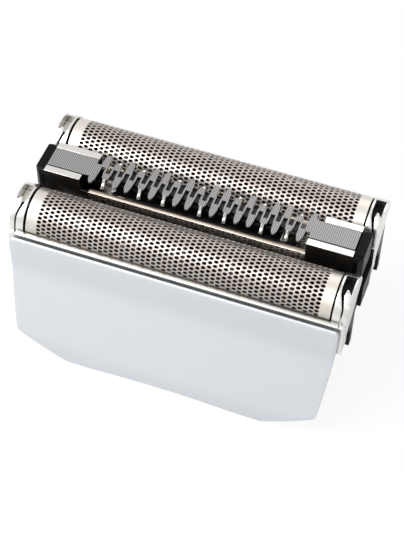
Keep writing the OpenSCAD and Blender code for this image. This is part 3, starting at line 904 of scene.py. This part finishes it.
for name, side in (("front_cover", -1), ("rear_cover", 1)):
    print(name, "faces:", len(make_cover(name, side).data.polygons))

# %% [markdown]
# ## The foils
# A foil is a flat sheet when it is grown and is arched when it is fitted. It is made the same way
# here: a flat honeycomb of cells is built first, each with an oval hole, then trimmed to size,
# rolled over the blades and given its thickness. The holes are half as long again as they are wide.
# Their spacing was measured in the photograph, over many rows at once.

# %% Sizes of the foils
FOIL_AXIS_Y = 7.07 * MM
FOIL_RADIUS = 3.72 * MM
FOIL_THICK = 0.12 * MM
COLUMN_STEP = 0.763 * MM
HOLE_PITCH = 0.595 * MM
HOLE_HALF_LONG = 0.33 * MM
HOLE_HALF_WIDE = 0.215 * MM
HOLE_SIDES = 12
FIELD_HALF_X = 20.1 * MM
FIELD_HALF_ARC = 5.6 * MM
CELL_WELD = 0.01 * MM


# %% Flat honeycomb
def honeycomb(half_x, half_arc):
    """A flat sheet of six-sided cells, with a hole in each cell inside the field."""
    work = bmesh.new()
    corner_x = COLUMN_STEP / 1.5
    corner_s = HOLE_PITCH / math.sqrt(3)
    columns = int(half_x / COLUMN_STEP) + 2
    rows = int(half_arc / HOLE_PITCH) + 2
    for c in range(-columns, columns + 1):
        for r in range(-rows, rows + 1):
            x = c * COLUMN_STEP
            s = (r + 0.5 * (c % 2)) * HOLE_PITCH
            corners = [
                work.verts.new((x + corner_x * math.cos(a), s + corner_s * math.sin(a), 0))
                for a in (math.pi / 3 * k for k in range(6))
            ]
            if abs(x) > FIELD_HALF_X or abs(s) > FIELD_HALF_ARC:
                work.faces.new(corners)
                continue
            ring = []
            for k in range(HOLE_SIDES):
                a = 2 * math.pi / HOLE_SIDES * k
                long, wide = HOLE_HALF_LONG * math.cos(a), HOLE_HALF_WIDE * math.sin(a)
                ring.append(work.verts.new((x + long, s + wide, 0)))
            for k in range(6):
                near = [ring[2 * k], ring[2 * k + 1], ring[(2 * k + 2) % HOLE_SIDES]]
                work.faces.new([corners[k], corners[(k + 1) % 6], *reversed(near)])
    bmesh.ops.remove_doubles(work, verts=work.verts, dist=CELL_WELD)
    return work


# %% [markdown]
# The honeycomb has a ragged border, which is cut back to the sheet's rectangle. Rolling turns the
# distance from the middle line into an angle round the foil's axis.


# %% Trim and roll
def trim(work, half_x, half_arc):
    """Cuts the honeycomb's ragged border back to the sheet's true rectangle."""
    for normal, half in (((1, 0, 0), half_x), ((0, 1, 0), half_arc)):
        for sign in (-1, 1):
            direction = Vector(normal) * sign
            bmesh.ops.bisect_plane(
                work,
                geom=work.verts[:] + work.edges[:] + work.faces[:],
                plane_co=direction * half,
                plane_no=direction,
                clear_outer=True,
            )


def roll(work, side):
    """Bends the sheet round its axis. What is left past a quarter turn hangs down as a skirt."""
    quarter = FOIL_RADIUS * math.pi / 2
    for v in work.verts:
        arc = max(-quarter, min(quarter, v.co.y))
        angle = arc / FOIL_RADIUS
        hang = abs(v.co.y) - abs(arc)
        y = side * FOIL_AXIS_Y + FOIL_RADIUS * math.sin(angle)
        v.co = (v.co.x, y, FOIL_AXIS_Z + FOIL_RADIUS * math.cos(angle) - hang)


# %% [markdown]
# The foil's thickness comes last, on the inner side, so that the outside keeps its radius. The wall
# of each hole comes with it. The part with holes then takes the darker nickel, as painted shade.


# %% Foils
def make_foil(node_name, side):
    """The side is -1 for the front foil and 1 for the rear one."""
    low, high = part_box(node_name)
    skirt = FOIL_AXIS_Z - low.z
    half_arc = FOIL_RADIUS * math.pi / 2 + skirt
    work = honeycomb(high.x, half_arc)
    trim(work, high.x, half_arc)
    roll(work, side)
    bmesh.ops.recalc_face_normals(work, faces=work.faces)
    mesh = bpy.data.meshes.new(node_name + "_perforated")
    work.to_mesh(mesh)
    work.free()
    piece = new_piece(node_name + "_perforated", mesh)
    wall = piece.modifiers.new("wall", "SOLIDIFY")
    wall.thickness = FOIL_THICK
    wall.offset = -1
    seat(finished_mesh(piece), node_name)
    second_finish(piece, field_shade_nickel, lambda at: abs(at.x) < FIELD_HALF_X)
    return piece


for name, side in (("front_foil", -1), ("rear_foil", 1)):
    print(name, "faces:", len(make_foil(name, side).data.polygons))

# %% [markdown]
# ## Springs
# A coil spring gets shorter as the piece on its free end comes down. The record says which springs
# belong to which joint and which end stays put, and each one is copied with smooth shading.

# %% Springs
for joint in frame["record"]["behaviour"]["joints"]:
    for spring in joint.get("deforming_nodes", []):
        name, fixed_z = spring["node"], spring["fixed_end_z_m"]
        coil = new_piece(name + "_coil", nodes[name].data.copy())
        seat(finished_mesh(coil), name)
        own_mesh(coil)

# %% [markdown]
# ## Floor and light
# A pale floor and a white world stand in for a product photographer's white sweep. To light the
# object evenly they have to stay dim, and to look white they have to be bright. Light Path tells
# the two apart: what the eye or a mirror sees is white, and what only lights the object is not.


# %% What is seen
def seen_share(owner, eye, mirror):
    """One value for camera rays, one for glossy and transmission rays, and 0 for all others."""
    rays = add_node(owner, "ShaderNodeLightPath")
    parts = []
    for kind, level in (("Camera", eye), ("Glossy", mirror), ("Transmission", mirror)):
        ray = rays.outputs[f"Is {kind} Ray"]
        part = add_node(owner, "ShaderNodeMath", {1: level}, {0: ray}, operation="MULTIPLY")
        parts.append(part.outputs[0])
    share = parts[0]
    for part in parts[1:]:
        larger = add_node(owner, "ShaderNodeMath", {}, {0: share, 1: part}, operation="MAXIMUM")
        share = larger.outputs[0]
    return share


# %% [markdown]
# The floor is a pale card. A tenth of what the camera sees of it stays a real surface, and that
# tenth keeps the object's soft shadow. In mirrors only about half of it glows, or the chrome would
# lose its darker underside.

# %% Floor
FLOOR_SIZE = 4.0
FLOOR_TONE = "#A4A4A4"
FLOOR_SEEN = "#FFFFFF"
EYE_SHARE = 0.9
MIRROR_SHARE = 0.55


def pale_card():
    material, shader = new_surface("pale_card", {"Roughness": 0.9})
    tone = add_node(
        material,
        "ShaderNodeMix",
        {"A": linear(FLOOR_TONE), "B": linear(FLOOR_SEEN)},
        {"Factor": seen_share(material, 1, 1)},
        data_type="RGBA",
    )
    connect(material, shader, Base_Color=tone.outputs["Result"])
    glow = add_node(material, "ShaderNodeEmission", {"Color": linear("#FFFFFF"), "Strength": 1.0})
    glow_share = seen_share(material, EYE_SHARE, MIRROR_SHARE)
    mixed = add_node(
        material,
        "ShaderNodeMixShader",
        {},
        {0: glow_share, 1: shader.outputs["BSDF"], 2: glow.outputs["Emission"]},
    )
    output = material.node_tree.nodes["Material Output"]
    material.node_tree.links.new(mixed.outputs["Shader"], output.inputs["Surface"])
    return material


bpy.ops.mesh.primitive_plane_add(size=FLOOR_SIZE, location=(0, 0, 0))
floor = bpy.context.object
floor.name = "floor"
floor.data.materials.append(pale_card())
print("floor, m:", FLOOR_SIZE)

# %% [markdown]
# Chrome and nickel need something darker than the sweep to mirror, or they lose their form, so a
# grey card stands at each end. A strip lamp in front gives rounded metal its bright line. It is a
# glowing card that lights nothing. Only mirror-like surfaces see these three.

# %% Grey cards and strip lamp
STRIP_LEVEL = 1.45


def make_card(name, place_mm, size_mm, finish):
    """An upright card that faces the object and is seen in reflections only."""
    bpy.ops.mesh.primitive_plane_add(size=1, location=Vector(place_mm) * MM)
    card = bpy.context.object
    card.name = name
    card.scale = (size_mm[0] * MM, size_mm[1] * MM, 1)
    card.rotation_euler = (math.pi / 2, 0, math.atan2(-place_mm[0], place_mm[1]))
    card.data.materials.append(finish)
    card.visible_camera = False
    card.visible_diffuse = False
    card.visible_shadow = False


grey_card, _ = new_surface("grey_card", {"Base Color": linear("#949290"), "Roughness": 0.9})
strip_glow, _ = new_surface(
    "strip_lamp",
    {
        "Base Color": linear("#000000"),
        "Emission Color": linear("#FFFFFF"),
        "Emission Strength": STRIP_LEVEL,
    },
)
# The place and the size of each card, in millimetres, and its finish.
CARDS = {
    "left_card": ((-110, 0, 25), (120, 50), grey_card),
    "right_card": ((110, 0, 25), (120, 50), grey_card),
    "strip_card": ((-30, -190, 150), (320, 50), strip_glow),
}
for name, card in CARDS.items():
    make_card(name, *card)
print("cards:", len(CARDS))

# %% [markdown]
# The world lights the object softly from all round. A key lamp stands at the left, a weak fill at
# the right, and a wide lamp behind lifts the foils' crowns and the rear cover. All are large,
# because large lamps give the soft shadows of a light tent.

# %% World and lamps
WORLD_LEVEL = 0.42
# The place of each lamp and its width, in millimetres, and its power in watts.
LAMPS = {
    "key_box": ((-180, -120, 240), 260, 1.15),
    "fill_box": ((300, -120, 260), 300, 0.25),
    "back_box": ((120, 380, 330), 420, 0.6),
}


def make_world():
    world = bpy.data.worlds.new("white_sweep")
    world.use_nodes = True
    level = add_node(
        world,
        "ShaderNodeMapRange",
        {"To Min": WORLD_LEVEL, "To Max": 1.0},
        {"Value": seen_share(world, 1, 1)},
    )
    background = world.node_tree.nodes["Background"]
    background.inputs["Color"].default_value = linear("#FFFFFF")
    world.node_tree.links.new(level.outputs["Result"], background.inputs["Strength"])
    bpy.context.scene.world = world


def make_lamp(name, place_mm, size_mm, watts):
    """A square soft box that faces the middle of the object."""
    data = bpy.data.lights.new(name, "AREA")
    data.size = size_mm * MM
    data.energy = watts
    lamp = bpy.data.objects.new(name, data)
    lamp.location = Vector(place_mm) * MM
    lamp.rotation_euler = (CAM_AIM - lamp.location).to_track_quat("-Z", "Y").to_euler()
    bpy.context.scene.collection.objects.link(lamp)


make_world()
for name, lamp in LAMPS.items():
    make_lamp(name, *lamp)
bpy.context.scene.view_settings.view_transform = "Standard"
print("lamps:", len(LAMPS))
